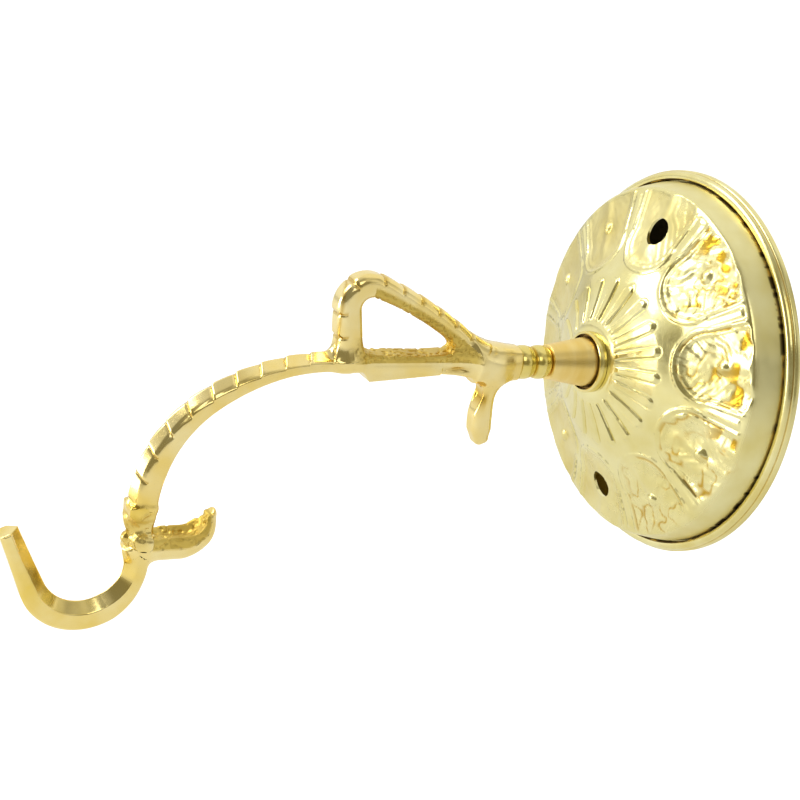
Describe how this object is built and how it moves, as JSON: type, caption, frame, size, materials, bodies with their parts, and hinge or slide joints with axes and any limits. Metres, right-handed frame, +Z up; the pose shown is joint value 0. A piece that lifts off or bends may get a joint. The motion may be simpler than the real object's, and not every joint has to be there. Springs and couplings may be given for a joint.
{
  "type": "vigil lamp bracket",
  "caption": "Wall bracket with a domed, embossed round plate and an S-shaped cast arm that ends in an open hook for a hanging lamp.",
  "frame": {"origin": "centre of the plate's back, on the wall", "axes": "+Y into the wall, +Z up, +X to the right for someone who faces the wall; the arm stands out along -Y"},
  "size_m": [0.09, 0.1555, 0.1034],
  "materials": {
    "plate_brass": "stamped sheet, polished, with darker gold in the hollows",
    "rim_brass": "spun and polished, with a satin band",
    "cone_brass": "warm satin",
    "cast_brass": "cast, hand polished on the outside and rough in the hollows",
    "hook_brass": "smooth and polished",
    "plated_steel": "zinc plated"
  },
  "bodies": {
    "plate": {"wall_plate": "plate_brass", "rim_ring": "rim_brass", "seat_ring": "rim_brass", "plate_washer": "plated_steel"},
    "arm": {"cone_ferrule": "cone_brass", "neck_collar": "cast_brass", "arm_stem": "cast_brass", "loop_scroll": "cast_brass", "drop_leaf": "cast_brass", "curl_leaf": "cast_brass", "lamp_hook": "hook_brass", "mounting_stud": "plated_steel", "lock_washer": "plated_steel", "hex_nut": "plated_steel"}
  },
  "joints": [
    {"name": "arm_swivel", "type": "hinge", "parent": "plate", "child": "arm", "pos_m": [0, -0.0238, 0], "axis": [0, 1, 0], "continuous": true}
  ]
}
